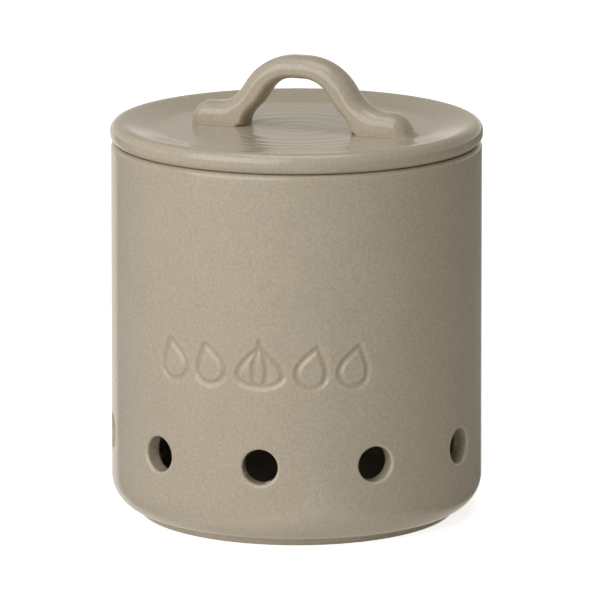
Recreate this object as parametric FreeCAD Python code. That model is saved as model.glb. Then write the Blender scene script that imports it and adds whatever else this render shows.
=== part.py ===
import FreeCAD, Part
import math
import os

# Garlic keeper: a round glazed stoneware jar with a ring of air holes low in its wall,
# and a lift-off lid with a strap handle.
# Millimetres, +Z up, origin at the middle of the foot, front of the jar towards -Y.

# Jar, turned about the Z axis
jar_radius = 60.0
jar_height = 121.0
jar_wall = 5.8
wall_draft = 0.45
jar_floor = 4.8
foot_inset = 8.8
foot_height = 2.0
foot_ring_width = 4.2
foot_recess = 1.8
foot_edge_round = 0.8
foot_groove_round = 0.3
bottom_rise = 1.9
bottom_round = 10.4
inside_round = 6.0
rim_outer_round = 1.6
rim_inner_round = 1.5

# Air holes, evenly spaced round the jar, the first one at the front
vent_count = 10
first_vent_angle = -90.0
vent_diameter = 11.3
vent_height = 27.3
vent_edge_round = 0.7

# Lid plate, a little wider than the rim, with a raised edge and a shallow dish inside it
lid_overhang = 0.25
lid_thickness = 4.1
lid_edge_height = 6.6
lid_edge_width = 4.2
dish_slope_width = 10.8
lid_lower_round = 2.8
lid_upper_round = 2.9
crest_round = 9.0
dish_round = 14.0

# Locating ring under the lid, loose inside the jar's mouth
ring_depth = 7.0
ring_wall = 4.4
ring_clearance = 1.2
ring_edge_round = 1.2
ring_root_round = 0.8

# Strap handle: an arch of constant width between two flat feet, standing on the lid
strap_width = 11.0
strap_thickness = 7.2
strap_edge_round = 3.0
arch_flat = 1.8
arch_outer_round = 19.5
arch_inner_round = 10.0
leg_lean = 34.0
leg_straight = 3.75
foot_bend_round = 11.0
foot_thickness = 7.1
foot_flat = 2.0
foot_end_round = 5.2
handle_turn = -10.0
handle_offset = 1.6

# Levels and radii that follow
foot_radius = jar_radius - foot_inset
belly_level = foot_height + bottom_rise
rim_radius = jar_radius - wall_draft
jar_inner_radius = jar_radius - jar_wall
jar_floor_level = foot_recess + jar_floor
lid_radius = rim_radius + lid_overhang
lid_crest_radius = lid_radius - lid_edge_width
lid_dish_radius = lid_crest_radius - dish_slope_width
seat_level = jar_height
lid_floor_level = seat_level + lid_thickness
lid_crest_level = seat_level + lid_edge_height
ring_outer_radius = jar_inner_radius - ring_clearance
ring_inner_radius = ring_outer_radius - ring_wall
ring_bottom_level = seat_level - ring_depth

ORIGIN = FreeCAD.Vector(0, 0, 0)
UP = FreeCAD.Vector(0, 0, 1)
FULL_TURN = 360
RIGHT_ANGLE = 90
SLACK = 0.001


def direction(start, end):
    """Unit vector from one point to another."""
    step = end - start
    return step * (1 / step.Length)


def rounded_face(corners):
    """Face in the XZ plane through corners (x, z, radius), each radius an arc tangent to both sides."""
    count = len(corners)
    points = [FreeCAD.Vector(x, 0, z) for x, z, radius in corners]
    arcs = []
    for index, corner in enumerate(points):
        radius = corners[index][2]
        back = direction(corner, points[index - 1])
        ahead = direction(corner, points[(index + 1) % count])
        half_angle = back.getAngle(ahead) / 2
        reach = radius / math.tan(half_angle)
        depth = radius / math.sin(half_angle) - radius
        middle = corner
        if radius:
            middle = corner + direction(ORIGIN, back + ahead) * depth
        arcs.append((corner + back * reach, middle, corner + ahead * reach))
    edges = []
    for index, (start, middle, end) in enumerate(arcs):
        if corners[index][2]:
            edges.append(Part.Arc(start, middle, end).toShape())
        following = arcs[(index + 1) % count][0]
        if (following - end).Length > SLACK:
            edges.append(Part.LineSegment(end, following).toShape())
    return Part.Face(Part.Wire(edges))


def turned(corners):
    """Solid of revolution about the Z axis from a rounded outline of (radius, height, corner radius)."""
    return rounded_face(corners).revolve(ORIGIN, UP, FULL_TURN)


def vent_mouths(pot):
    """The closed edges where the air holes leave the wall, inside and out."""
    reach = vent_diameter / 2 + vent_edge_round
    mouths = []
    for edge in pot.Edges:
        box = edge.BoundBox
        in_band = box.ZMin > vent_height - reach and box.ZMax < vent_height + reach
        if in_band and edge.isClosed():
            mouths.append(edge)
    return mouths


def make_jar():
    """Open pot with a foot ring, rounded bottom and rim, and the ring of air holes.

    The underside rises a little from the foot to the wall. The outside of the wall leans in a little
    towards the rim; the inside is upright.
    """
    ring_inside = foot_radius - foot_ring_width
    pot = turned([
        (0, foot_recess, 0),
        (ring_inside, foot_recess, foot_edge_round),
        (ring_inside, 0, foot_edge_round),
        (foot_radius, 0, foot_edge_round),
        (foot_radius, foot_height, foot_groove_round),
        (jar_radius, belly_level, bottom_round),
        (rim_radius, jar_height, rim_outer_round),
        (jar_inner_radius, jar_height, rim_inner_round),
        (jar_inner_radius, jar_floor_level, inside_round),
        (0, jar_floor_level, 0),
    ])
    drill_start = jar_inner_radius - jar_wall
    drill_length = jar_radius + jar_wall - drill_start
    for index in range(vent_count):
        angle = math.radians(first_vent_angle + index * FULL_TURN / vent_count)
        outwards = FreeCAD.Vector(math.cos(angle), math.sin(angle), 0)
        start = outwards * drill_start + UP * vent_height
        drill = Part.makeCylinder(vent_diameter / 2, drill_length, start, outwards)
        pot = pot.cut(drill).Solids[0]
    return pot.makeFillet(vent_edge_round, vent_mouths(pot))


def make_lid():
    """Round plate with a raised edge, a shallow dish inside it and the locating ring underneath."""
    return turned([
        (0, seat_level, 0),
        (ring_inner_radius, seat_level, ring_root_round),
        (ring_inner_radius, ring_bottom_level, ring_edge_round),
        (ring_outer_radius, ring_bottom_level, ring_edge_round),
        (ring_outer_radius, seat_level, ring_root_round),
        (lid_radius, seat_level, lid_lower_round),
        (lid_radius, lid_crest_level, lid_upper_round),
        (lid_crest_radius, lid_crest_level, crest_round),
        (lid_dish_radius, lid_floor_level, dish_round),
        (0, lid_floor_level, 0),
    ])


def strap_outline():
    """Side view of the strap, half-lengths along X and heights above the lid's floor along Z.

    Each half's top side is the arch's flat and arc, a straight leg, the bend's arc, a flat and the rounded
    end of the foot. Height and length follow from them.
    """
    lean = math.radians(leg_lean)
    bend = math.tan((math.radians(RIGHT_ANGLE) - lean) / 2)
    arch_reach = arch_outer_round * bend
    foot_reach = foot_bend_round * bend
    slant = arch_reach + leg_straight + foot_reach
    outer_top = arch_flat + arch_reach
    inner_top = arch_flat + arch_inner_round * bend
    top = foot_thickness + slant * math.cos(lean)
    underside = top - strap_thickness
    outer_knee = outer_top + slant * math.sin(lean)
    foot_end = outer_knee + foot_reach + foot_flat + foot_end_round
    inner_heel = inner_top + underside * math.tan(lean)
    right = [
        (inner_heel, 0, 0),
        (foot_end, 0, 0),
        (foot_end, foot_thickness, foot_end_round),
        (outer_knee, foot_thickness, foot_bend_round),
        (outer_top, top, arch_outer_round),
    ]
    left = [(-x, z, radius) for x, z, radius in reversed(right)]
    arch = [
        (-inner_top, underside, arch_inner_round),
        (inner_top, underside, arch_inner_round),
    ]
    return rounded_face(right + left + arch)


def make_handle():
    """Strap of constant width with rounded edges, its feet flat on the lid's floor."""
    face = strap_outline()
    face.translate(FreeCAD.Vector(0, -strap_width / 2, 0))
    strap = face.extrude(FreeCAD.Vector(0, strap_width, 0))
    side = strap_width / 2 - SLACK
    rims = []
    for edge in strap.Edges:
        box = edge.BoundBox
        on_side = box.YMin > side or box.YMax < -side
        if on_side and box.ZMax > SLACK:
            rims.append(edge)
    strap = strap.makeFillet(strap_edge_round, rims)
    strap.translate(FreeCAD.Vector(handle_offset, 0, lid_floor_level))
    strap.rotate(ORIGIN, UP, handle_turn)
    return strap


def write_step(shape, node):
    shape.exportStep(os.path.join("parts", node + ".step"))


def main():
    os.makedirs("parts", exist_ok=True)
    write_step(make_jar(), "jar")
    write_step(make_lid(), "lid")
    write_step(make_handle(), "lid_handle")


main()
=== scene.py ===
"""Garlic keeper: glazed stoneware jar with air holes and an impressed garland, its lid and strap handle."""

import math

import bmesh
import bpy
import numpy as np
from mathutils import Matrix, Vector


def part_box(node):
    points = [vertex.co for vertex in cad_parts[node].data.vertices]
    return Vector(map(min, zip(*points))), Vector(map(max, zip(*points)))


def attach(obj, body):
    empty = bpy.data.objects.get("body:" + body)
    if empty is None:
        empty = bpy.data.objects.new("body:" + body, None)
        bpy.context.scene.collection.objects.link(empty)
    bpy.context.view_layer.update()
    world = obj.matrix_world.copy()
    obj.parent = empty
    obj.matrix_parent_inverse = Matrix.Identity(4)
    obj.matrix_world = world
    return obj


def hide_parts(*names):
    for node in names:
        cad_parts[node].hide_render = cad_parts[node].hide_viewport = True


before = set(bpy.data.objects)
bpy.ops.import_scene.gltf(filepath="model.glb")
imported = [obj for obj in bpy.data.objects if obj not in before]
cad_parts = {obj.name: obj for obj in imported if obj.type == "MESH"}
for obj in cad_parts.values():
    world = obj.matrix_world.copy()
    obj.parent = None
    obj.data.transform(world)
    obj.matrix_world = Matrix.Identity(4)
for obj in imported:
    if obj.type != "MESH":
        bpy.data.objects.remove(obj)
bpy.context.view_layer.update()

bl_info = {
    "name": "Garlic Keeper",
    "version": (1, 0, 0),
    "blender": (4, 5, 0),
    "location": "View3D > Sidebar > Keeper",
    "description": "Builds a glazed stoneware garlic keeper with its lid and strap handle",
    "category": "Object",
}

MM = 0.001
FULL_TURN = 2 * math.pi
RIGHT_ANGLE = math.pi / 2
ORIGIN = (0, 0, 0)
UP = (0, 0, 1)
WHITE = (1, 1, 1, 1)
BLACK = (0, 0, 0, 1)

# Points nearer than this are one, in metres
WELD = 1e-6

# Picture side in pixels and sensor width in millimetres
PICTURE = 600
SENSOR = 36.0

# Garland: tip of the stalk in clove lengths, inner clove in bulb widths, and how slender each tip is
STALK_TIP = 0.62
INNER_WIDTH = 0.30
BULB_PINCH = 1.5
INNER_PINCH = 0.9
CLOVE_PINCH = 1.2

# Jar: pieces up a sector's side, rings round a hole, and rows of faces below, across and above the garland
SIDE_PIECES = 25
SHEET_RINGS = 11
RING_CROWDING = 1.6
LIP_RINGS = 8
TUNNEL_RINGS = 5
THINNEST_OUTSIDE = 2
THINNEST_INSIDE = 4
THIN_RINGS = 2.2
LINE_GLOW = 0.6
ROWS_BELOW = 4
ROWS_ABOVE = 14
ROW_HEIGHT = 0.00038
GAP_BELOW = 0.0008
GAP_ABOVE = 0.002
RIM_ROOM = 0.004

# Lid: where the trimming rings start inside the dish, how they fade in, and how their pitch drifts
RIPPLE_START = 0.006
RIPPLE_FADE = 0.004
RIPPLE_DRIFT = 1.7
RIPPLE_WANDER = 190
LID_ROWS = 80
LID_COLUMNS = 360

# Strap: points along the arch, leg, bend and foot's end, and round each corner of a section
ARCH_POINTS = 26
LEG_POINTS = 8
BEND_POINTS = 33
END_POINTS = 24
CORNER_POINTS = 11
# How fast the painted shade at the base of each foot fades going up the strap
SHADE_FALL = 14

# Glaze: sizes of the clouds, specks and pits per metre, share of specks in the pits, and the pattern's shift
CLOUD_SCALE = 55.0
SPECK_SCALE = 1100.0
PIT_SCALE = 420.0
SPECKS_IN_PITS = 0.35
PATTERN_SHIFT = (1, 0.7, 0.3)

# Studio: mirrored white, right-hand tint, table's glow, and the falls of mirrored white up from the horizon
WARM_WHITE = (1, 0.94, 0.84, 1)
RIGHT_BLUE = 0.70
TABLE_HALF = 4.0
TABLE_GLOW = 0.80
SWEEP_SOFT = 0.004
LEVEL_FALL = (math.radians(3), math.radians(10))
HIGH_FALL = (math.radians(13), math.radians(32))
TOP_ELEVATION = math.radians(85)

jar_low, jar_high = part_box("jar")
lid_low, lid_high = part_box("lid")
handle_low, handle_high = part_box("lid_handle")


def length(name, description, default):
    """A size in metres that a user may change."""
    return bpy.props.FloatProperty(name=name, description=description, default=default, min=0.0,
                                   unit="LENGTH", precision=5)


def angle(name, description, degrees):
    """An angle that a user may change, given in degrees."""
    return bpy.props.FloatProperty(name=name, description=description, default=math.radians(degrees),
                                   unit="ROTATION")


def share(name, description, default):
    """A plain number that a user may change."""
    return bpy.props.FloatProperty(name=name, description=description, default=default, min=0.0)


def colour(name, description, default):
    """A colour that a user may change."""
    return bpy.props.FloatVectorProperty(name=name, description=description, default=default,
                                         subtype="COLOR", size=3, min=0.0, max=1.0)


class JarSizes(bpy.types.PropertyGroup):
    """Sizes of the jar, its foot, rim and air holes."""

    radius: length("Radius", "Outside radius of the wall above the foot", jar_high.y)
    height: length("Height", "Height of the rim above the table", jar_high.z)
    wall: length("Wall", "Thickness of the wall above the foot", 0.0058)
    draft: length("Draft", "How far the outside of the wall leans in from foot to rim", 0.00045)
    floor: length("Floor", "Height of the inside floor above the table", 0.0066)
    foot_radius: length("Foot radius", "Outside radius of the foot ring", 0.0512)
    foot_height: length("Foot height", "Height of the foot ring", 0.0019)
    foot_ring: length("Foot ring", "Width of the foot ring", 0.0042)
    foot_recess: length("Foot recess", "Depth of the hollow inside the foot ring", 0.0018)
    foot_round: length("Foot rounding", "Rounding of the foot ring's edges", 0.0008)
    groove_round: length("Groove rounding", "Rounding where the foot meets the belly", 0.0005)
    bottom_rise: length("Bottom rise", "How far the underside rises from the foot to the wall", 0.0019)
    bottom_round: length("Bottom rounding", "Rounding between wall and foot", 0.0104)
    inside_round: length("Inside rounding", "Rounding between the inside floor and wall", 0.0060)
    rim_outer: length("Rim outside", "Rounding of the rim's outer edge", 0.0016)
    rim_inner: length("Rim inside", "Rounding of the rim's inner edge", 0.0015)
    vents: bpy.props.IntProperty(name="Air holes", description="Air holes round the jar", default=10, min=3)
    vent_radius: length("Air hole radius", "Radius of each air hole", 0.00565)
    vent_height: length("Air hole height", "Height of the air holes' middles", 0.0273)
    vent_lip: length("Air hole lip", "Rounding of the glaze at an air hole's mouth", 0.0010)
    band_low: length("Hole band bottom", "Lower end of the band that holds the air holes", 0.0135)
    band_high: length("Hole band top", "Upper end of the band that holds the air holes", 0.0460)


class GarlandSizes(bpy.types.PropertyGroup):
    """Sizes of the impressed garland of cloves on the front."""

    height: length("Height", "Height of the garland's middle above the table", 0.0598)
    tall: length("Clove length", "Length of each clove's outline", 0.0128)
    wide: length("Clove width", "Width of each side clove's outline", 0.0094)
    bulb_wide: length("Bulb width", "Width of the middle bulb's outline", 0.0146)
    cloves: bpy.props.IntProperty(name="Cloves", description="Cloves on each side", default=2, min=1)
    pitch: length("Pitch", "Distance from one clove to the next round the wall", 0.0136)
    first: length("First clove", "Distance from the middle to the first clove", 0.0170)
    lean: angle("Lean", "Outward lean of each clove beside the bulb", 14)
    stroke: length("Stroke", "Width of the impressed line", 0.0028)
    soft: length("Soft edge", "Width of the line's sloping edges under the glaze", 0.0012)
    depth: length("Depth", "Depth of the impressed line", 0.0005)
    # Painted shade: how much the glaze is darkened inside the impressed line, standing in for the line's
    # shade
    pool: share("Line shade", "How much painted shade darkens the glaze in the line", 0.35)
    thinning: share("Thinning", "How much the glaze pales along the line's edges", 0.35)


class LidSizes(bpy.types.PropertyGroup):
    """Sizes of the lid, its raised edge, dish and locating ring."""

    radius: length("Radius", "Outside radius of the lid", lid_high.y)
    thickness: length("Thickness", "Thickness of the plate in the dish", 0.0041)
    crest_radius: length("Crest radius", "Radius where the raised edge turns into the dish", 0.0556)
    dish_radius: length("Dish radius", "Radius where the dish's slope meets its flat", 0.0448)
    lower_round: length("Lower rounding", "Rounding of the lower edge", 0.0028)
    upper_round: length("Upper rounding", "Rounding of the upper edge", 0.0029)
    crest_round: length("Crest rounding", "Rounding between the edge and the slope", 0.0090)
    dish_round: length("Dish rounding", "Rounding between the slope and the flat", 0.0140)
    ring_gap: length("Ring gap", "Gap between the locating ring and the jar", 0.0012)
    ring_wall: length("Ring wall", "Thickness of the locating ring", 0.0044)
    ring_round: length("Ring rounding", "Rounding of the locating ring's edge", 0.0012)
    root_round: length("Root rounding", "Rounding where the ring meets the plate", 0.0008)
    ripple: length("Trimming ripple", "Height of the faint rings left by trimming", 0.000032)
    ripple_pitch: length("Ripple pitch", "Distance between trimming rings", 0.0056)


class HandleSizes(bpy.types.PropertyGroup):
    """Sizes of the strap handle."""

    height: length("Height", "Height of the arch above the lid's flat", handle_high.z - handle_low.z)
    half_length: length("Half length", "From the middle of the strap to the end of a foot", 0.0364)
    width: length("Width", "Width of the strap", 0.0116)
    thickness: length("Thickness", "Thickness of the strap at the top of the arch", 0.0072)
    side_round: length("Side rounding", "Rounding of the strap's edges, seen from above", 0.0050)
    edge_round: length("Edge rounding", "Rounding of the strap's top edges, seen from the end", 0.0040)
    under_round: length("Under rounding", "Rounding of the strap's lower edges, seen from the end", 0.0022)
    lean: angle("Leg lean", "Lean of the legs from the vertical", 34)
    arch_flat: length("Arch flat", "Half length of the straight stretch at the top of the arch", 0.0018)
    outer_round: length("Outer arch", "Radius of the arch outside", 0.0195)
    inner_round: length("Inner arch", "Radius of the arch inside", 0.0100)
    foot_thickness: length("Foot thickness", "Thickness of the flattened feet", 0.0071)
    left_end: length("Left end", "Length of the rounded top at the left foot's end", 0.0050)
    left_splay: length("Left splay", "How far the left foot's end leans out at the lid", 0.0002)
    left_skirt: length("Left skirt", "Hollow fillet at the end of the left foot", 0.0007)
    right_end: length("Right end", "Length of the rounded top at the right foot's end", 0.0068)
    right_splay: length("Right splay", "How far the right foot's end leans out at the lid", 0.0013)
    right_skirt: length("Right skirt", "Hollow fillet at the end of the right foot", 0.0022)
    plan_round: length("Foot corners", "Rounding of a foot's corners, seen from above", 0.0040)
    bend_round: length("Foot bend", "Radius of the bend between leg and foot", 0.0110)
    heel: length("Heel", "Height at which the underside of a leg steepens towards the lid", 0.0030)
    spread: length("Spread", "From the heel to where a foot has its full width on the lid", 0.0032)
    fillet: length("Side fillet", "Hollow fillet along the sides of a foot", 0.0005)
    turn: angle("Turn", "Turn of the handle about the jar's axis", -10)
    offset: length("Offset", "Shift of the handle along its own length", 0.0016)


class GlazeLook(bpy.types.PropertyGroup):
    """Colours and finish of the glaze."""

    body: colour("Glaze", "Colour of the glaze at its usual thickness", (0.455, 0.389, 0.303))
    thin: colour("Thin glaze", "Colour where the glaze breaks over an edge", (0.52, 0.43, 0.33))
    # Colour of the painted shade in the garland's line and at the base of the handle's feet
    painted_shade: colour("Painted shade colour", "Colour of the painted shade", (0.33, 0.27, 0.19))
    roughness: share("Roughness", "Roughness of the fired surface", 0.16)
    mottle: share("Mottle", "Strength of the soft clouding", 0.10)
    specks: share("Specks", "Strength of the fine specks", 0.52)
    peel: share("Peel", "Depth of the fine pitting, in millimetres", 0.010)


class StudioSettings(bpy.types.PropertyGroup):
    """Camera and lamps of the plain studio."""

    distance: length("Camera distance", "From the camera to the point it circles", 2.0)
    aim_height: length("Aim height", "Height of the point that the camera circles", 0.065)
    azimuth: angle("Camera azimuth", "Turn of the camera from the jar's front", 11.3)
    elevation: angle("Camera elevation", "Height of the camera above the horizon", 12.377)
    focal_pixels: share("Focal length", "Focal length in pixels of the square picture", 6199.0)
    aim_x: share("Aim column", "Picture column of the point that the camera circles", 296.67)
    aim_y: share("Aim row", "Picture row of the point that the camera circles", 310.86)
    key_azimuth: angle("Key azimuth", "Turn of the key lamp from the camera", -40)
    key_elevation: angle("Key elevation", "Height of the key lamp above the horizon", 25)
    key_distance: length("Key distance", "From the key lamp to the jar", 1.7)
    key_size: length("Key size", "Side of the large soft key lamp", 1.9)
    key_power: share("Key power", "Power of the key lamp, in watts", 26.0)
    top_height: length("Top lamp height", "From the top lamp to the aimed point", 1.2)
    top_size: length("Top lamp size", "Side of the soft lamp overhead", 0.8)
    top_power: share("Top lamp power", "Power of the top lamp, in watts", 4.0)
    ambient: share("Ambient", "Strength of the light from all round, at the left", 0.16)
    right_side: share("Right side", "Ambient light from the right, as a share of the left's", 1.1)
    sweep_left: angle("Sweep left", "Half width of the white sweep at the left, as mirrored", 30)
    sweep_right: angle("Sweep right", "Half width of the white sweep at the right, as mirrored", 12)
    floor_pale: share("Floor", "Paleness of the table", 0.88)
    floor_mirrored: share("Floor mirrored", "Paleness of the table in reflections, off the sweep", 0.51)
    floor_gloss: share("Floor gloss", "Share of white that the table adds in reflections", 0.84)
    high_gloss: share("High gloss", "Share of white mirrored from well above the horizon", 0.20)
    level_gloss: share("Level gloss", "Share of white that the lid's flat mirrors", 0.48)


class KeeperSettings(bpy.types.PropertyGroup):
    """All sizes and colours of the garlic keeper."""

    jar: bpy.props.PointerProperty(type=JarSizes, name="Jar")
    garland: bpy.props.PointerProperty(type=GarlandSizes, name="Garland")
    lid: bpy.props.PointerProperty(type=LidSizes, name="Lid")
    handle: bpy.props.PointerProperty(type=HandleSizes, name="Handle")
    glaze: bpy.props.PointerProperty(type=GlazeLook, name="Glaze")
    studio: bpy.props.PointerProperty(type=StudioSettings, name="Studio")


def smooth(value):
    """0 below 0, 1 above 1, and a smooth S between them."""
    value = np.clip(value, 0, 1)
    return value * value * (3 - 2 * value)


def rounded_outline(corners, spacing, turn):
    """Points (across, up) of a line through corners (across, up, radius), and how sharply each point bends.

    Each radius is an arc tangent to both sides of its corner, cut into equal turns. Straight stretches
    are cut into equal lengths no longer than spacing. The bend is signed, and is one over the radius.
    """
    points = [np.array(corner[:2], float) for corner in corners]
    tail = points[0]
    line = [tail[None]]
    bends = [np.zeros(1)]
    for before, corner, after, (_, _, radius) in zip(points, points[1:], points[2:], corners[1:-1]):
        back = (before - corner) / np.linalg.norm(before - corner)
        ahead = (after - corner) / np.linalg.norm(after - corner)
        half = math.acos(np.clip(back @ ahead, -1, 1)) / 2
        start = corner + back * radius / math.tan(half)
        middle = (back + ahead) / np.linalg.norm(back + ahead)
        centre = corner + middle * radius / math.sin(half)
        side = np.sign(ahead[0] * back[1] - ahead[1] * back[0])
        sweep = side * (math.pi - 2 * half)
        steps = max(2, math.ceil(abs(sweep) / turn))
        first = math.atan2(*(start - centre)[::-1])
        turned = first + sweep * np.linspace(0, 1, steps + 1)
        arc = centre + radius * np.stack([np.cos(turned), np.sin(turned)], 1)
        straight = cut_line(tail, start, spacing)
        line += [straight, arc]
        bends += [np.zeros(len(straight)), np.full(len(arc), side / radius)]
        tail = arc[-1]
    straight = cut_line(tail, points[-1], spacing)
    line += [straight, points[-1][None]]
    bends += [np.zeros(len(straight)), np.zeros(1)]
    return np.concatenate(line), np.concatenate(bends)


def cut_line(start, end, spacing):
    """Points inside the straight stretch from start to end, at equal lengths no longer than spacing."""
    pieces = max(1, math.ceil(np.linalg.norm(end - start) / spacing))
    along = np.linspace(0, 1, pieces + 1)[1:-1, None]
    return start + (end - start) * along


def revolved(outline, angles):
    """Grid of points: each outline point (radius, height) carried round the Z axis to each angle."""
    radius, height = outline[:, :1], outline[:, 1:]
    x = radius * np.cos(angles)
    y = radius * np.sin(angles)
    return np.stack([x, y, np.broadcast_to(height, x.shape)], -1)


class Shell:
    """Collects grids of points into one closed mesh, with the glaze's thin places and the places darkened by
    painted shade.
    """

    def __init__(self):
        self.points = []
        self.quads = []
        self.thin = []
        self.painted_shade = []
        self.count = 0

    def add(self, grid, thin=0.0, painted_shade=0.0, closed=True):
        """Adds a grid of shape (rows, columns, 3); closed joins the last column to the first."""
        rows, columns = grid.shape[:2]
        number = self.count + np.arange(rows * columns).reshape(rows, columns)
        if closed:
            number = np.concatenate([number, number[:, :1]], 1)
        quads = np.stack([number[:-1, :-1], number[1:, :-1], number[1:, 1:], number[:-1, 1:]], -1)
        self.points.append(grid.reshape(-1, 3))
        self.quads.append(quads.reshape(-1, 4))
        self.thin.append(np.broadcast_to(thin, (rows, columns)).ravel())
        self.painted_shade.append(np.broadcast_to(painted_shade, (rows, columns)).ravel())
        self.count += rows * columns

    def finish(self, name):
        """Puts the grids into an object, merges their shared edges and poles, and turns faces outwards."""
        mesh = bpy.data.meshes.new(name)
        mesh.from_pydata(np.concatenate(self.points), [], np.concatenate(self.quads))
        # Stores the thin glaze and the painted shade on the points
        for label, values in (("glaze_thin", self.thin), ("glaze_painted_shade", self.painted_shade)):
            layer = mesh.attributes.new(label, "FLOAT", "POINT")
            layer.data.foreach_set("value", np.concatenate(values).astype(np.float32))
        edit = bmesh.new()
        edit.from_mesh(mesh)
        bmesh.ops.remove_doubles(edit, verts=edit.verts, dist=WELD)
        bmesh.ops.dissolve_degenerate(edit, edges=edit.edges, dist=WELD / 10)
        bmesh.ops.recalc_face_normals(edit, faces=edit.faces)
        edit.to_mesh(mesh)
        edit.free()
        mesh.shade_smooth()
        piece = bpy.data.objects.new(name, mesh)
        bpy.context.scene.collection.objects.link(piece)
        return piece


def clove_outline(wide, tall, pinch, steps=90):
    """Closed clove outline, tip up: across is sin t times sin(t/2) to the power pinch, up is cos t."""
    t = np.linspace(0, FULL_TURN, steps)
    across = np.sin(t) * np.abs(np.sin(t / 2)) ** pinch
    across = across / across.max() * wide / 2
    return np.stack([across, np.cos(t) * tall / 2], 1)


def leaned(line, lean, shift):
    """A line turned by an angle about its own middle, then moved sideways."""
    cosine, sine = math.cos(lean), math.sin(lean)
    turned = line @ np.array([[cosine, sine], [-sine, cosine]])
    return turned + np.array([shift, 0.0])


def garland_lines(garland):
    """The garland's lines: a bulb with its inner clove and stalk, and the cloves on each side."""
    tall = garland.tall
    bulb = clove_outline(garland.bulb_wide, tall, BULB_PINCH)
    inner = clove_outline(garland.bulb_wide * INNER_WIDTH, tall, INNER_PINCH)
    stalk = np.array([[0, tall / 2], [0, tall * STALK_TIP]])
    lines = [bulb, inner, stalk]
    clove = clove_outline(garland.wide, tall, CLOVE_PINCH)
    for place in range(garland.cloves):
        shift = garland.first + garland.pitch * place
        lines += [leaned(clove, -garland.lean, shift), leaned(clove, garland.lean, -shift)]
    return lines


def distance_to_lines(points, lines):
    """Least distance from each point to any stretch of any line, by dropping each point on each stretch."""
    nearest = np.full(points.shape[:-1], np.inf)
    for line in lines:
        start, step = line[:-1], np.diff(line, axis=0)
        keep = (step ** 2).sum(1) > 0
        start, step = start[keep], step[keep]
        away = points[..., None, :] - start
        along = np.clip((away * step).sum(-1) / (step ** 2).sum(-1), 0, 1)
        gap = np.linalg.norm(away - along[..., None] * step, axis=-1)
        nearest = np.minimum(nearest, gap.min(-1))
    return nearest


def wall_radius(jar, height):
    """Outside radius of the wall at a height: it leans in evenly from the belly to the rim."""
    belly = jar.foot_height + jar.bottom_rise
    return jar.radius - jar.draft * (height - belly) / (jar.height - belly)


def sector_angles(jar, number):
    """Angles across one air hole's sector, close together where the garland passes over it."""
    width = FULL_TURN / jar.vents
    fine, coarse = math.radians(0.36), math.radians(1.5)
    plenty, few = round(width / fine), round(width / coarse)
    half = np.linspace(-width / 2, 0, plenty // 2 + 1)
    half_few = np.linspace(-width / 2, 0, few // 2 + 1)
    left, right = half_few, -half_few[::-1]
    if number in (0, 1):
        left = half
    if number in (0, jar.vents - 1):
        right = -half[::-1]
    middle = -RIGHT_ANGLE + number * width
    return middle, np.concatenate([left, right[1:]])


def vent_patch(jar, fan, middle):
    """Wall round one air hole, through the wall and out on the inside, as rings of one grid.

    Each ring has one point per point of the sector's border. A border point's direction from the hole's
    middle gives its place on the hole's circle, and the rings between are shares of the way from the
    circle to the border. The mouth is a quarter round, and the hole runs straight through the wall.
    """
    heights = np.linspace(jar.band_low, jar.band_high, SIDE_PIECES + 1) - jar.vent_height
    low, high = np.full(len(fan), heights[0]), np.full(len(fan), heights[-1])
    right, left = np.full(SIDE_PIECES, fan[-1]), np.full(SIDE_PIECES, fan[0])
    turn = np.concatenate([fan[:-1], right, fan[:0:-1], left])
    rise = np.concatenate([low[:-1], heights[:-1], high[:-1], heights[:0:-1]])
    direction = np.arctan2(rise, jar.radius * np.sin(turn))
    lip = jar.vent_lip

    def outer(up):
        return wall_radius(jar, jar.vent_height + up)

    def inner(up):
        return np.full_like(up, jar.radius - jar.wall)

    def sheet_rings(wall, shares):
        mouth = jar.vent_radius + lip
        hole_rise = mouth * np.sin(direction)
        hole_turn = np.arcsin(mouth * np.cos(direction) / wall(hole_rise))
        part = shares[:, None]
        at = hole_turn + (turn - hole_turn) * part
        up = hole_rise + (rise - hole_rise) * part
        return np.stack([wall(up) * np.cos(at), wall(up) * np.sin(at), up], -1)

    def lip_rings(wall, sign):
        tilt = np.linspace(0, RIGHT_ANGLE, LIP_RINGS)[1:, None]
        reach = jar.vent_radius + lip * (1 - np.sin(tilt))
        across = reach * np.cos(direction)
        up = reach * np.sin(direction)
        depth = lip * (1 - np.cos(tilt))
        out = np.sqrt(wall(up) ** 2 - across ** 2) - sign * depth
        return np.stack([out, across, up], -1)

    shares = np.linspace(1, 0, SHEET_RINGS) ** RING_CROWDING
    outside = sheet_rings(outer, shares)
    mouth_out = lip_rings(outer, 1)
    mouth_in = lip_rings(inner, -1)[::-1]
    through = np.linspace(0, 1, TUNNEL_RINGS)[1:-1, None, None]
    tunnel = mouth_out[-1] + (mouth_in[0] - mouth_out[-1]) * through
    inside = sheet_rings(inner, shares[::-1])
    grid = np.concatenate([outside, mouth_out, tunnel, mouth_in, inside])
    rings = np.arange(len(grid))
    from_mouth = np.abs(rings - (len(outside) + THINNEST_OUTSIDE))
    from_back = np.abs(rings - (len(grid) - len(inside) - THINNEST_INSIDE))
    thin = np.exp(-(np.minimum(from_mouth, from_back) / THIN_RINGS) ** 2)
    out, across, up = grid[..., 0], grid[..., 1], grid[..., 2]
    x = out * math.cos(middle) - across * math.sin(middle)
    y = out * math.sin(middle) + across * math.cos(middle)
    return np.stack([x, y, up + jar.vent_height], -1), thin[:, None]


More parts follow.
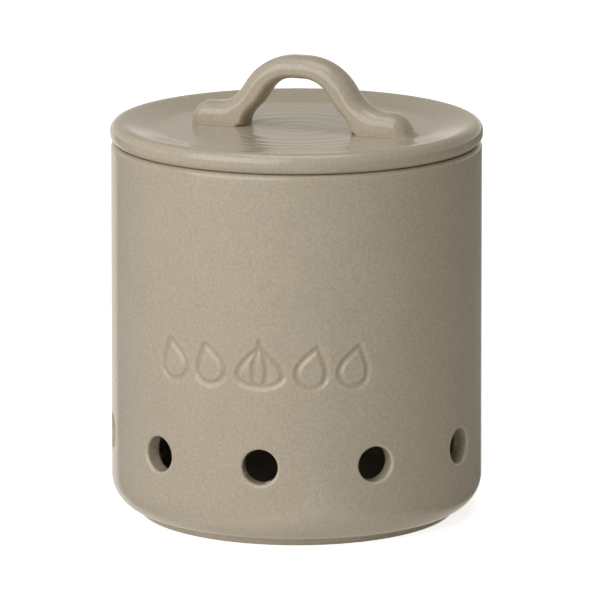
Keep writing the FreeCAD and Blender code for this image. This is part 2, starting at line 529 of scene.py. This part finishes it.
def jar_lower_outline(jar):
    """Underside, foot ring and belly, from the middle of the base up to the band of air holes."""
    ring_inside = jar.foot_radius - jar.foot_ring
    return rounded_outline([
        (0, jar.foot_recess, 0),
        (ring_inside, jar.foot_recess, jar.foot_round),
        (ring_inside, 0, jar.foot_round),
        (jar.foot_radius, 0, jar.foot_round),
        (jar.foot_radius, jar.foot_height, jar.groove_round),
        (jar.radius, jar.foot_height + jar.bottom_rise, jar.bottom_round),
        (wall_radius(jar, jar.band_low), jar.band_low, 0),
    ], spacing=0.012, turn=math.radians(9))


def jar_rim_outline(jar, rows):
    """Wall above the band of air holes at the given heights, then over the rim and down inside."""
    inner = jar.radius - jar.wall
    rim, bends = rounded_outline([
        (wall_radius(jar, rows[-1]), rows[-1], 0),
        (jar.radius - jar.draft, jar.height, jar.rim_outer),
        (inner, jar.height, jar.rim_inner),
        (inner, jar.band_high, 0),
    ], spacing=0.012, turn=math.radians(10))
    wall = np.stack([wall_radius(jar, rows[:-1]), rows[:-1]], 1)
    return np.concatenate([wall, rim]), np.concatenate([np.zeros(len(wall)), bends])


def jar_inside_outline(jar):
    """Inside wall below the air holes, down to the middle of the inside floor."""
    inner = jar.radius - jar.wall
    return rounded_outline([
        (inner, jar.band_low, 0),
        (inner, jar.floor, jar.inside_round),
        (0, jar.floor, 0),
    ], spacing=0.012, turn=math.radians(12))


def thin_from_bend(bends, sharpest):
    """Glaze thins on outward bends: 1 at the sharpest bend and 0 on flats, smoothed over its neighbours."""
    weight = np.clip(-bends * sharpest, 0, 1)
    padded = np.pad(weight, 2, mode="edge")
    kernel = np.array([0.1, 0.2, 0.4, 0.2, 0.1])
    return np.convolve(padded, kernel, mode="valid")[:, None]


def build_jar(jar, garland):
    """The glazed jar as one closed shell, its garland pressed into the front of the wall."""
    shell = Shell()
    sectors = [sector_angles(jar, number) for number in range(jar.vents)]
    angles = np.concatenate([middle + fan[:-1] for middle, fan in sectors])
    lower, bends = jar_lower_outline(jar)
    shell.add(revolved(lower, angles), thin=thin_from_bend(bends, jar.foot_round))
    for middle, fan in sectors:
        grid, thin = vent_patch(jar, fan, middle)
        shell.add(grid, thin=thin)
    reach = garland.tall * STALK_TIP + garland.stroke
    below = np.linspace(jar.band_high, garland.height - reach - GAP_BELOW, ROWS_BELOW)
    fine = np.arange(garland.height - reach, garland.height + reach, ROW_HEIGHT)
    above = np.linspace(fine[-1] + GAP_ABOVE, jar.height - RIM_ROOM, ROWS_ABOVE)
    rows = np.concatenate([below, fine, above])
    outline, bends = jar_rim_outline(jar, rows)
    grid = revolved(outline, angles)
    band = slice(ROWS_BELOW, ROWS_BELOW + len(fine))
    front = ((angles + RIGHT_ANGLE + math.pi) % FULL_TURN - math.pi) * jar.radius
    across = np.broadcast_to(front, (len(fine), len(angles)))
    up = np.broadcast_to(fine[:, None] - garland.height, across.shape)
    gap = distance_to_lines(np.stack([across, up], -1), garland_lines(garland))
    pressed = smooth((garland.stroke / 2 - gap) / garland.soft)
    squeeze = 1 - garland.depth * pressed / jar.radius
    grid[band, :, :2] *= squeeze[..., None]
    thin = np.broadcast_to(thin_from_bend(bends, jar.rim_inner), grid.shape[:2]).copy()
    painted_shade = np.zeros(grid.shape[:2])
    # Painted shade: the glaze is darkened inside the impressed line, where the impression's own shade falls
    painted_shade[band] = pressed * garland.pool
    rim_of_line = np.exp(-((gap - garland.stroke / 2) / (garland.soft * LINE_GLOW)) ** 2)
    thin[band] = np.maximum(thin[band], garland.thinning * rim_of_line)
    shell.add(grid, thin=thin, painted_shade=painted_shade)
    inside, bends = jar_inside_outline(jar)
    shell.add(revolved(inside, angles))
    return shell.finish("glazed_jar")


def build_lid(lid, jar):
    """The lid turned from one outline, with fine rings left by trimming on the flat of its dish.

    The rings are a sine of the distance from the middle whose pitch drifts slowly, fading out at the slope.
    """
    seat = jar.height
    crest = lid_high.z
    floor = seat + lid.thickness
    ring_outer = jar.radius - jar.wall - lid.ring_gap
    ring_inner = ring_outer - lid.ring_wall
    flat_radius = lid.dish_radius - RIPPLE_START
    under, under_bends = rounded_outline([
        (0, seat, 0),
        (ring_inner, seat, lid.root_round),
        (ring_inner, lid_low.z, lid.ring_round),
        (ring_outer, lid_low.z, lid.ring_round),
        (ring_outer, seat, lid.root_round),
        (lid.radius, seat, lid.lower_round),
        (lid.radius, crest, lid.upper_round),
        (lid.crest_radius, crest, lid.crest_round),
        (lid.dish_radius, floor, lid.dish_round),
        (flat_radius, floor, 0),
    ], spacing=0.010, turn=math.radians(8))
    flat = np.linspace(flat_radius, 0, LID_ROWS)[1:]
    drift = RIPPLE_DRIFT * np.sin(flat * RIPPLE_WANDER)
    ripple = lid.ripple * np.sin(FULL_TURN * flat / lid.ripple_pitch + drift)
    ripple *= smooth((flat_radius - flat) / RIPPLE_FADE)
    top = np.stack([flat, floor + ripple], 1)
    outline = np.concatenate([under, top])
    bends = np.concatenate([under_bends, np.zeros(len(top))])
    angles = np.linspace(0, FULL_TURN, LID_COLUMNS + 1)[:-1]
    shell = Shell()
    shell.add(revolved(outline, angles), thin=thin_from_bend(bends, lid.lower_round))
    return shell.finish("glazed_lid")


def handle_lines(handle, end, splay, skirt):
    """Outer and inner points of half the strap from the top of the arch to a foot's end, seen from the side.

    Both run along the arch's flat, round its arc and down the leg. Where the outer line bends out on to the
    foot, the inner one steepens into the heel, reaches the lid and follows it. The outer one rounds over in
    a quarter ellipse as long as the end, and runs out in a hollow quarter round of the skirt's radius; both
    lean out by the splay towards the lid. The third result is how far each section has spread on the lid.
    """
    bend = RIGHT_ANGLE - handle.lean
    down = np.array([math.sin(handle.lean), -math.cos(handle.lean)])
    under = handle.height - handle.thickness
    swing = np.linspace(0, bend, ARCH_POINTS)
    ring = np.stack([np.sin(swing), np.cos(swing) - 1], 1)
    outer_arch = np.array([handle.arch_flat, handle.height]) + handle.outer_round * ring
    inner_arch = np.array([handle.arch_flat, under]) + handle.inner_round * ring
    outer_arch = np.concatenate([[[0, handle.height]], outer_arch])
    inner_arch = np.concatenate([[[0, under]], inner_arch])
    heel = inner_arch[-1] + down * inner_arch[-1][1] / math.cos(handle.lean)
    knee_run = (outer_arch[-1][1] - handle.foot_thickness) / math.cos(handle.lean)
    knee = outer_arch[-1] + down * knee_run
    reach = handle.bend_round * math.tan(bend / 2)
    leg_end = knee - down * reach
    flat_start = knee[0] + reach
    legs = np.linspace(0, 1, LEG_POINTS)[1:, None]
    outer_leg = outer_arch[-1] + (leg_end - outer_arch[-1]) * legs
    inner_stop = inner_arch[-1] + down * ((leg_end - inner_arch[-1]) @ down)
    inner_leg = inner_arch[-1] + (inner_stop - inner_arch[-1]) * legs
    centre = np.array([flat_start, handle.foot_thickness + handle.bend_round])
    swing = np.linspace(bend, 0, BEND_POINTS)[1:]
    outer_bend = centre - handle.bend_round * np.stack([np.sin(swing), np.cos(swing)], 1)
    half = len(swing) // 2
    t = np.linspace(0, 1, half + 1)[1:, None]
    steep = heel + np.array([0, handle.heel])
    inner_fall = inner_stop * (1 - t) ** 2 + steep * 2 * t * (1 - t) + heel * t ** 2
    inner_run = heel + (np.array([flat_start, 0]) - heel) * t
    swing = np.linspace(0, RIGHT_ANGLE, END_POINTS)[1:]
    end_x = handle.half_length - end + end * np.sin(swing)
    end_z = skirt + (handle.foot_thickness - skirt) * np.cos(swing)
    skirt_x = handle.half_length + skirt * (1 - np.cos(swing))
    skirt_z = skirt * (1 - np.sin(swing))
    flat = np.linspace(flat_start, handle.half_length - end, 4)[1:]
    tail_x = np.concatenate([flat, end_x, skirt_x])
    tail_z = np.concatenate([np.full(len(flat), handle.foot_thickness), end_z, skirt_z])
    tail_x += splay * (1 - tail_z / handle.foot_thickness)
    outer_tail = np.stack([tail_x, tail_z], 1)
    inner_tail = np.stack([tail_x, np.zeros(len(tail_x))], 1)
    outer = np.concatenate([outer_arch, outer_leg, outer_bend, outer_tail])
    inner = np.concatenate([inner_arch, inner_leg, inner_fall, inner_run, inner_tail])
    on_lid = np.ones(len(outer))
    before = len(outer_arch) + len(outer_leg) + half
    on_lid[:before] = 0
    on_lid[before:before + half] = smooth((inner_run[:, 0] - heel[0]) / handle.spread)
    return outer, inner, on_lid


def strap_section(handle, tall, on_lid):
    """Half sections of the strap as points (sideways, up), one row for each section.

    From the middle of the top: a flat, an elliptic corner, the side, then either another elliptic corner
    (the arch) or a small hollow fillet on to the lid (the feet), and back to the middle underneath.
    """
    tall, on_lid = tall[:, None], on_lid[:, None]
    half_width = handle.width / 2
    side = handle.side_round
    edge = np.minimum(handle.edge_round, tall / 2)
    under = np.minimum(handle.under_round, tall / 2)
    swing = np.linspace(0, RIGHT_ANGLE, CORNER_POINTS)
    top_across = np.broadcast_to((half_width - side) * np.linspace(0, 1, 4)[:-1], (len(tall), 3))
    top_up = np.broadcast_to(tall, top_across.shape)
    corner_across = np.broadcast_to(half_width - side + side * np.sin(swing), (len(tall), len(swing)))
    corner_up = tall - edge + edge * np.cos(swing)
    fillet = np.minimum(handle.fillet, tall / 2)
    foot_across = half_width + fillet * (1 - np.cos(swing))
    foot_up = fillet * (1 - np.sin(swing))
    arch_across = half_width - side + side * np.cos(swing)
    arch_up = under * (1 - np.sin(swing))
    low_across = arch_across + (foot_across - arch_across) * on_lid
    low_up = arch_up + (foot_up - arch_up) * on_lid
    rise = np.linspace(0, 1, 6)[1:-1]
    side_across = np.broadcast_to(half_width, (len(tall), len(rise)))
    side_up = corner_up[:, -1:] + (low_up[:, :1] - corner_up[:, -1:]) * rise
    base_across = low_across[:, -1:] * np.linspace(1, 0, 4)[1:]
    base_up = np.zeros_like(base_across)
    across = np.concatenate([top_across, corner_across, side_across, low_across, base_across], 1)
    up = np.concatenate([top_up, corner_up, side_up, low_up, base_up], 1)
    return across, up


def hollow(radius, height):
    """How far a hollow quarter round of that radius spreads at a height above the lid."""
    return radius - np.sqrt(radius ** 2 - np.clip(radius - height, 0, radius) ** 2)


def build_handle(handle, lid, jar):
    """The strap handle: sections carried along the strap, each standing from its inner to its outer point.

    Seen from above, a foot's end has elliptic corners. Towards the lid they grow with the end's splay and
    hollow skirt, and with the smaller fillet at the sides.
    """
    halves = []
    left = (handle.left_end, handle.left_splay, handle.left_skirt)
    right = (handle.right_end, handle.right_splay, handle.right_skirt)
    for mirror, (end, splay, skirt) in ((-1, left), (1, right)):
        outer, inner, on_lid = handle_lines(handle, end, splay, skirt)
        foot = np.broadcast_to((splay, skirt), (len(outer), 2))
        halves.append((outer * [mirror, 1], inner * [mirror, 1], on_lid, foot))
    outer, inner, on_lid, foot = (np.concatenate([left[:0:-1], right]) for left, right in zip(*halves))
    stand = outer - inner
    tall = np.linalg.norm(stand, axis=1)
    stand = stand / np.maximum(tall, WELD)[:, None]
    stand[tall < WELD] = (0, 1)
    across, up = strap_section(handle, tall, on_lid)
    spread = on_lid[:, None] * hollow(handle.fillet, up)
    corner_across = handle.plan_round + spread
    splayed = foot[:, :1] * (1 - up / handle.foot_thickness)
    corner_along = handle.plan_round + splayed + hollow(foot[:, 1:], up)
    past = np.abs(inner[:, :1]) - (handle.half_length - handle.plan_round)
    drawn_in = corner_across * (1 - np.sqrt(1 - np.clip(past / corner_along, 0, 1) ** 2))
    across = across * (1 - drawn_in / (handle.width / 2 + spread))
    across = np.concatenate([across, -across[:, -2:0:-1]], 1)
    up = np.concatenate([up, up[:, -2:0:-1]], 1)
    along = inner[:, :1] + stand[:, :1] * up + handle.offset
    height = inner[:, 1:] + stand[:, 1:] * up + jar.height + lid.thickness
    cosine, sine = math.cos(handle.turn), math.sin(handle.turn)
    grid = np.stack([along * cosine - across * sine, along * sine + across * cosine, height], -1)
    shell = Shell()
    level = np.clip(up / tall.max(), 0, 1)
    # Painted shade: the glaze is darkened at the base of the feet, where the handle meets the lid and shade
    # falls
    painted_shade = on_lid[:, None] * np.exp(-level * SHADE_FALL)
    shell.add(grid, painted_shade=painted_shade)
    return shell.finish("glazed_handle")


def new_group(name, inputs, outputs):
    """An empty shader node group with the named sockets, each with its type."""
    group = bpy.data.node_groups.new(name, "ShaderNodeTree")
    for side, sockets in (("INPUT", inputs), ("OUTPUT", outputs)):
        for label, kind in sockets:
            group.interface.new_socket(name=label, in_out=side, socket_type=kind)
    return group


def place(tree, kind, x, y, **settings):
    """A node of that kind at a place in the editor, with its settings."""
    node = tree.nodes.new(kind)
    node.location = (x, y)
    for label, value in settings.items():
        setattr(node, label, value)
    return node


def noise_node(tree, vector, y, scale, detail, roughness):
    """A Noise Texture over a vector output. Returns its value output."""
    node = place(tree, "ShaderNodeTexNoise", -900, y)
    for label, value in (("Scale", scale), ("Detail", detail), ("Roughness", roughness)):
        node.inputs[label].default_value = value
    tree.links.new(vector, node.inputs["Vector"])
    return node.outputs["Fac"]


def glaze_group():
    """Node group for the glaze: clouded colour, paler on thin edges, darker where painted shade is marked,
    with fine specks.
    """
    inputs = [("Vector", "NodeSocketVector")]
    inputs += [(label, "NodeSocketColor") for label in ("Glaze", "Thin Glaze", "Painted Shade Colour")]
    inputs += [(label, "NodeSocketFloat") for label in ("Thin", "Painted Shade", "Mottle", "Specks", "Roughness")]
    outputs = [("Color", "NodeSocketColor"), ("Roughness", "NodeSocketFloat"), ("Height", "NodeSocketFloat")]
    group = new_group("Stoneware Glaze", inputs, outputs)
    given = place(group, "NodeGroupInput", -1200, 0).outputs
    leave = place(group, "NodeGroupOutput", 900, 0)
    clouds = noise_node(group, given["Vector"], 300, CLOUD_SCALE, 4.0, 0.5)
    specks = noise_node(group, given["Vector"], 0, SPECK_SCALE, 3.0, 0.65)
    pits = noise_node(group, given["Vector"], -300, PIT_SCALE, 2.0, 0.5)
    thin = mixed(group, given["Thin"], given["Glaze"], given["Thin Glaze"], -500, 300)
    # Mixes in the painted shade's colour where the mesh marks painted shade
    painted_shade = mixed(group, given["Painted Shade"], thin, given["Painted Shade Colour"], -300, 300)
    shades = []
    for value, strength, y in ((clouds, "Mottle", -100), (specks, "Specks", -300)):
        centred = math_node(group, "SUBTRACT", -600, y, value, 0.5)
        shades.append(math_node(group, "MULTIPLY", -400, y, centred, given[strength]))
    total = math_node(group, "ADD", -200, -150, *shades)
    lift = math_node(group, "ADD", 0, -150, total, 1.0)
    tint = place(group, "ShaderNodeVectorMath", 300, 200, operation="SCALE")
    group.links.new(painted_shade, tint.inputs[0])
    group.links.new(lift, tint.inputs["Scale"])
    rough = math_node(group, "MULTIPLY", 300, -100, given["Roughness"], lift)
    blend = place(group, "ShaderNodeMix", 300, -300, data_type="FLOAT")
    blend.inputs["Factor"].default_value = SPECKS_IN_PITS
    group.links.new(pits, blend.inputs["A"])
    group.links.new(specks, blend.inputs["B"])
    group.links.new(tint.outputs["Vector"], leave.inputs["Color"])
    group.links.new(rough, leave.inputs["Roughness"])
    group.links.new(blend.outputs["Result"], leave.inputs["Height"])
    return group


def glaze_material(name, group, glaze, turn):
    """Glazed stoneware for one piece; turn sets where in the pattern the piece lies."""
    material = bpy.data.materials.new(name)
    material.use_nodes = True
    tree = material.node_tree
    shader = tree.nodes["Principled BSDF"]
    shader.inputs["IOR"].default_value = 1.5
    where = place(tree, "ShaderNodeTexCoord", -1100, 0)
    mapping = place(tree, "ShaderNodeMapping", -900, 0)
    mapping.inputs["Location"].default_value = [turn * part for part in PATTERN_SHIFT]
    look = place(tree, "ShaderNodeGroup", -400, 0, node_tree=group)
    for label, value in (("Glaze", glaze.body), ("Thin Glaze", glaze.thin), ("Painted Shade Colour", glaze.painted_shade)):
        look.inputs[label].default_value = (*value, 1)
    for label, value in (("Mottle", glaze.mottle), ("Specks", glaze.specks), ("Roughness", glaze.roughness)):
        look.inputs[label].default_value = value
    bump = place(tree, "ShaderNodeBump", -150, -300)
    bump.inputs["Distance"].default_value = glaze.peel * MM
    # Reads the thin glaze and the painted shade stored on the piece's points
    for label, socket, y in (("glaze_thin", "Thin", -200), ("glaze_painted_shade", "Painted Shade", -400)):
        reader = place(tree, "ShaderNodeAttribute", -650, y, attribute_name=label)
        tree.links.new(reader.outputs["Fac"], look.inputs[socket])
    tree.links.new(where.outputs["Object"], mapping.inputs["Vector"])
    tree.links.new(mapping.outputs["Vector"], look.inputs["Vector"])
    tree.links.new(look.outputs["Color"], shader.inputs["Base Color"])
    tree.links.new(look.outputs["Roughness"], shader.inputs["Roughness"])
    tree.links.new(look.outputs["Height"], bump.inputs["Height"])
    tree.links.new(bump.outputs["Normal"], shader.inputs["Normal"])
    return material


def glaze_for(name, turn):
    """The named piece's glaze material, sharing one node group."""
    group = bpy.data.node_groups.get("Stoneware Glaze") or glaze_group()
    return glaze_material(name, group, bpy.context.scene.keeper.glaze, turn)


def seen_colour(tree, unseen, gloss):
    """White where the camera sees it directly or through glass, warm white by the gloss in reflections.

    Other rays get the unseen colour, which is a colour or an output to link.
    """
    path = place(tree, "ShaderNodeLightPath", -900, 400).outputs
    mirrored = math_node(tree, "MULTIPLY", -650, 300, path["Is Glossy Ray"], gloss)
    clear = math_node(tree, "MAXIMUM", -650, 500, path["Is Camera Ray"], path["Is Transmission Ray"])
    warm = mixed(tree, mirrored, unseen, WARM_WHITE, -400, 200)
    return mixed(tree, clear, warm, WHITE, -200, 300)


def mixed(tree, factor, start, end, x, y):
    """Colour mixed from start to end; each is a colour or an output to link. Returns the output."""
    node = place(tree, "ShaderNodeMix", x, y, data_type="RGBA")
    tree.links.new(factor, node.inputs["Factor"])
    for label, value in (("A", start), ("B", end)):
        if isinstance(value, bpy.types.NodeSocket):
            tree.links.new(value, node.inputs[label])
        else:
            node.inputs[label].default_value = value
    return node.outputs["Result"]


def math_node(tree, operation, x, y, *values):
    """A Math node; each value is a number or an output to link. Returns its output."""
    node = place(tree, "ShaderNodeMath", x, y, operation=operation)
    for socket, value in zip(node.inputs, values):
        if isinstance(value, bpy.types.NodeSocket):
            tree.links.new(value, socket)
        else:
            socket.default_value = value
    return node.outputs["Value"]


def along_direction(tree, vector, direction, x, y):
    """How far a vector output reaches in a fixed direction."""
    node = place(tree, "ShaderNodeVectorMath", x, y, operation="DOT_PRODUCT")
    tree.links.new(vector, node.inputs[0])
    node.inputs[1].default_value = direction
    return node.outputs["Value"]


def ramp(tree, value, low, high, bottom, top, x, y):
    """Value eased from bottom at low to top at high."""
    node = place(tree, "ShaderNodeMapRange", x, y, interpolation_type="SMOOTHSTEP")
    for label, number in (("From Min", low), ("From Max", high), ("To Min", bottom), ("To Max", top)):
        node.inputs[label].default_value = number
    tree.links.new(value, node.inputs["Value"])
    return node.outputs["Result"]


def sweep_share(tree, vector, studio, reach, soft):
    """1 inside the wedge behind the jar that the white sweep fills, 0 outside it, eased over the soft width.

    The wedge's two sides start at the jar's left and right edges, seen from the camera, and open outwards.
    """
    sides = []
    for sign, opening in ((-1, studio.sweep_left), (1, studio.sweep_right)):
        normal = around(studio.azimuth - sign * (RIGHT_ANGLE + opening), 0, 1, ORIGIN)
        inside = along_direction(tree, vector, normal, -1500, 100 * sign)
        sides.append(ramp(tree, inside, -reach - soft, -reach + soft, 0, 1, -1300, 200 * sign))
    return math_node(tree, "MULTIPLY", -1100, 0, *sides)


def build_floor(studio, jar):
    """A wide pale table top. Its own white, added for the camera, hides its far edge and keeps the shadow.

    In reflections it is dimmer, except in the sweep behind the jar.
    """
    edge = np.linspace(-TABLE_HALF, TABLE_HALF, 9)
    x, y = np.meshgrid(edge, edge)
    grid = np.stack([x, y, np.zeros_like(x)], -1)
    number = np.arange(grid[..., 0].size).reshape(x.shape)
    quads = np.stack([number[:-1, :-1], number[:-1, 1:], number[1:, 1:], number[1:, :-1]], -1)
    mesh = bpy.data.meshes.new("table_top")
    mesh.from_pydata(grid.reshape(-1, 3), [], quads.reshape(-1, 4))
    floor = bpy.data.objects.new("table_top", mesh)
    bpy.context.scene.collection.objects.link(floor)
    material = bpy.data.materials.new("table_white")
    material.use_nodes = True
    tree = material.node_tree
    shader = tree.nodes["Principled BSDF"]
    pale, dimmer = ((value, value, value, 1) for value in (studio.floor_pale, studio.floor_mirrored))
    path = place(tree, "ShaderNodeLightPath", -900, 900)
    base = mixed(tree, path.outputs["Is Glossy Ray"], pale, dimmer, -400, 800)
    tree.links.new(base, shader.inputs["Base Color"])
    shader.inputs["Roughness"].default_value = 0.9
    shader.inputs["Specular IOR Level"].default_value = 0.0
    where = place(tree, "ShaderNodeTexCoord", -1700, 0)
    sweep = sweep_share(tree, where.outputs["Object"], studio, jar.radius, SWEEP_SOFT)
    white = math_node(tree, "MULTIPLY", -1000, 0, studio.floor_gloss, sweep)
    glow = place(tree, "ShaderNodeEmission", 0, -400)
    tree.links.new(seen_colour(tree, BLACK, white), glow.inputs["Color"])
    glow.inputs["Strength"].default_value = TABLE_GLOW
    both = place(tree, "ShaderNodeAddShader", 500, 0)
    tree.links.new(shader.outputs["BSDF"], both.inputs[0])
    tree.links.new(glow.outputs["Emission"], both.inputs[1])
    tree.links.new(both.outputs["Shader"], tree.nodes["Material Output"].inputs["Surface"])
    mesh.materials.append(material)


def build_world(studio):
    """Soft light from all round, yellower at the right; the camera sees it as plain white.

    In reflections it is white just above the horizon, and dimmer higher up.
    """
    world = bpy.data.worlds.new("studio_white")
    bpy.context.scene.world = world
    world.use_nodes = True
    tree = world.node_tree
    back = tree.nodes["Background"]
    back.inputs["Strength"].default_value = 1.0
    ray = place(tree, "ShaderNodeTexCoord", -1900, 0).outputs["Generated"]
    left = along_direction(tree, ray, around(studio.azimuth - RIGHT_ANGLE, 0, 1, ORIGIN), -700, -200)
    side = ramp(tree, left, -1, 1, 0, 1, -500, -200)
    at_left, at_right = studio.ambient, studio.ambient * studio.right_side
    right_colour = (at_right, at_right, at_right * RIGHT_BLUE, 1)
    soft = mixed(tree, side, right_colour, (at_left, at_left, at_left, 1), -300, -100)
    rise = along_direction(tree, ray, UP, -1700, 400)
    low = ramp(tree, rise, *map(math.sin, LEVEL_FALL), 1, studio.level_gloss, -1500, 500)
    high = ramp(tree, rise, *map(math.sin, HIGH_FALL), 1, studio.high_gloss / studio.level_gloss, -1500, 350)
    gloss = math_node(tree, "MULTIPLY", -1300, 450, low, high)
    tree.links.new(seen_colour(tree, soft, gloss), back.inputs["Color"])


def soft_lamp(name, place_at, aim, size, power):
    """A square area lamp at a place, facing its aim."""
    data = bpy.data.lights.new(name, "AREA")
    data.shape = "SQUARE"
    data.size = size
    data.energy = power
    lamp = bpy.data.objects.new(name, data)
    bpy.context.scene.collection.objects.link(lamp)
    lamp.location = place_at
    lamp.rotation_euler = (Vector(aim) - Vector(place_at)).to_track_quat("-Z", "Y").to_euler()
    return lamp


def around(azimuth, elevation, distance, centre):
    """Point at an azimuth from the jar's front and an elevation, at a distance from a centre."""
    flat = math.cos(elevation)
    step = Vector((math.sin(azimuth) * flat, -math.cos(azimuth) * flat, math.sin(elevation)))
    return Vector(centre) + step * distance


def build_camera(studio):
    """Camera at the photograph's angle, shifted so that the aimed point lands on its picture place."""
    data = bpy.data.cameras.new("camera")
    data.sensor_width = SENSOR
    data.lens = studio.focal_pixels / PICTURE * SENSOR
    data.shift_x = (PICTURE / 2 - studio.aim_x) / PICTURE
    data.shift_y = (studio.aim_y - PICTURE / 2) / PICTURE
    camera = bpy.data.objects.new("camera", data)
    bpy.context.scene.collection.objects.link(camera)
    aim = Vector((0, 0, studio.aim_height))
    camera.location = around(studio.azimuth, studio.elevation, studio.distance, aim)
    camera.rotation_euler = (aim - camera.location).to_track_quat("-Z", "Y").to_euler()
    bpy.context.scene.camera = camera


class KEEPER_OT_stage(bpy.types.Operator):
    """Set up the plain white studio: table top, lamps, world and camera"""

    bl_idname = "keeper.stage"
    bl_label = "Studio"

    def execute(self, context):
        studio = context.scene.keeper.studio
        context.scene.view_settings.view_transform = "Standard"
        build_camera(studio)
        build_floor(studio, context.scene.keeper.jar)
        build_world(studio)
        aim = (0, 0, studio.aim_height)
        key = around(studio.azimuth + studio.key_azimuth, studio.key_elevation, studio.key_distance, aim)
        soft_lamp("key", key, aim, studio.key_size, studio.key_power)
        top = around(studio.azimuth, TOP_ELEVATION, studio.top_height, aim)
        soft_lamp("top", top, aim, studio.top_size, studio.top_power)
        return {"FINISHED"}


class KEEPER_OT_jar(bpy.types.Operator):
    """Build the glazed jar with its air holes and impressed garland"""

    bl_idname = "keeper.jar"
    bl_label = "Jar"

    def execute(self, context):
        keeper = context.scene.keeper
        piece = build_jar(keeper.jar, keeper.garland)
        piece.data.materials.append(glaze_for("jar_glaze", turn=0.0))
        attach(piece, "jar")
        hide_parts("jar")
        return {"FINISHED"}


class KEEPER_OT_lid(bpy.types.Operator):
    """Build the glazed lid with its raised edge, dish and locating ring"""

    bl_idname = "keeper.lid"
    bl_label = "Lid"

    def execute(self, context):
        keeper = context.scene.keeper
        piece = build_lid(keeper.lid, keeper.jar)
        piece.data.materials.append(glaze_for("lid_glaze", turn=0.31))
        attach(piece, "lid")
        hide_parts("lid")
        return {"FINISHED"}


class KEEPER_OT_handle(bpy.types.Operator):
    """Build the strap handle on the lid"""

    bl_idname = "keeper.handle"
    bl_label = "Handle"

    def execute(self, context):
        keeper = context.scene.keeper
        piece = build_handle(keeper.handle, keeper.lid, keeper.jar)
        piece.data.materials.append(glaze_for("handle_glaze", turn=0.77))
        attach(piece, "lid")
        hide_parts("lid_handle")
        return {"FINISHED"}


class KEEPER_PT_panel(bpy.types.Panel):
    """The keeper's pieces, sizes and colours"""

    bl_idname = "KEEPER_PT_panel"
    bl_label = "Garlic Keeper"
    bl_space_type = "VIEW_3D"
    bl_region_type = "UI"
    bl_category = "Keeper"

    def draw(self, context):
        keeper = context.scene.keeper
        for operator in (KEEPER_OT_stage, KEEPER_OT_jar, KEEPER_OT_lid, KEEPER_OT_handle):
            self.layout.operator(operator.bl_idname)
        for part in ("jar", "garland", "lid", "handle", "glaze", "studio"):
            box = self.layout.box()
            box.label(text=part.capitalize())
            values = getattr(keeper, part)
            for label in values.__annotations__:
                box.prop(values, label)


CLASSES = (
    JarSizes, GarlandSizes, LidSizes, HandleSizes, GlazeLook, StudioSettings, KeeperSettings,
    KEEPER_OT_stage, KEEPER_OT_jar, KEEPER_OT_lid, KEEPER_OT_handle, KEEPER_PT_panel,
)


def register():
    for cls in CLASSES:
        bpy.utils.register_class(cls)
    bpy.types.Scene.keeper = bpy.props.PointerProperty(type=KeeperSettings, name="Garlic keeper")


def unregister():
    del bpy.types.Scene.keeper
    for cls in reversed(CLASSES):
        bpy.utils.unregister_class(cls)


def main():
    register()
    bpy.ops.keeper.stage()
    bpy.ops.keeper.jar()
    bpy.ops.keeper.lid()
    bpy.ops.keeper.handle()


if __name__ == "__main__":
    main()
